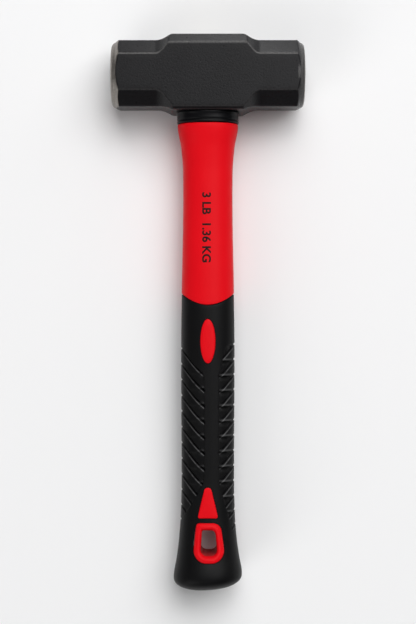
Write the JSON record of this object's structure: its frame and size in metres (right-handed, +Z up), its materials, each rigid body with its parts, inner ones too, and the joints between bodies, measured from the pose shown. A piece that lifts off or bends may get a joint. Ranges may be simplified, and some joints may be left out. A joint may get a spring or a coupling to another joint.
{
  "type": "sledgehammer",
  "caption": "Short two-faced sledgehammer: an octagonal steel head on a fibreglass handle with a red moulded shaft and a ribbed black grip with a hang hole.",
  "frame": {"origin": "middle of the bounding box, on the surface the hammer lies on, which touches the lower side flat of the head and the butt", "axes": "+X and -X are the striking directions, +Y runs up the handle to the head, +Z is up from the surface"},
  "size_m": [0.1204, 0.3429, 0.041],
  "materials": {
    "black_steel": "satin",
    "epoxy": "satin",
    "fibreglass": "matte",
    "collar_black": "satin",
    "red_plastic": "satin",
    "grip_rubber": "matte"
  },
  "bodies": {
    "root": {"hammer_head": "black_steel", "eye_epoxy": "epoxy", "fibreglass_core": "fibreglass", "neck_collar": "collar_black", "shaft_jacket": "red_plastic", "grip_sleeve": "grip_rubber", "oval_inlay_front": "red_plastic", "oval_inlay_back": "red_plastic", "arrow_inlay_front": "red_plastic", "arrow_inlay_back": "red_plastic", "hang_hole_liner": "red_plastic"}
  },
  "joints": []
}
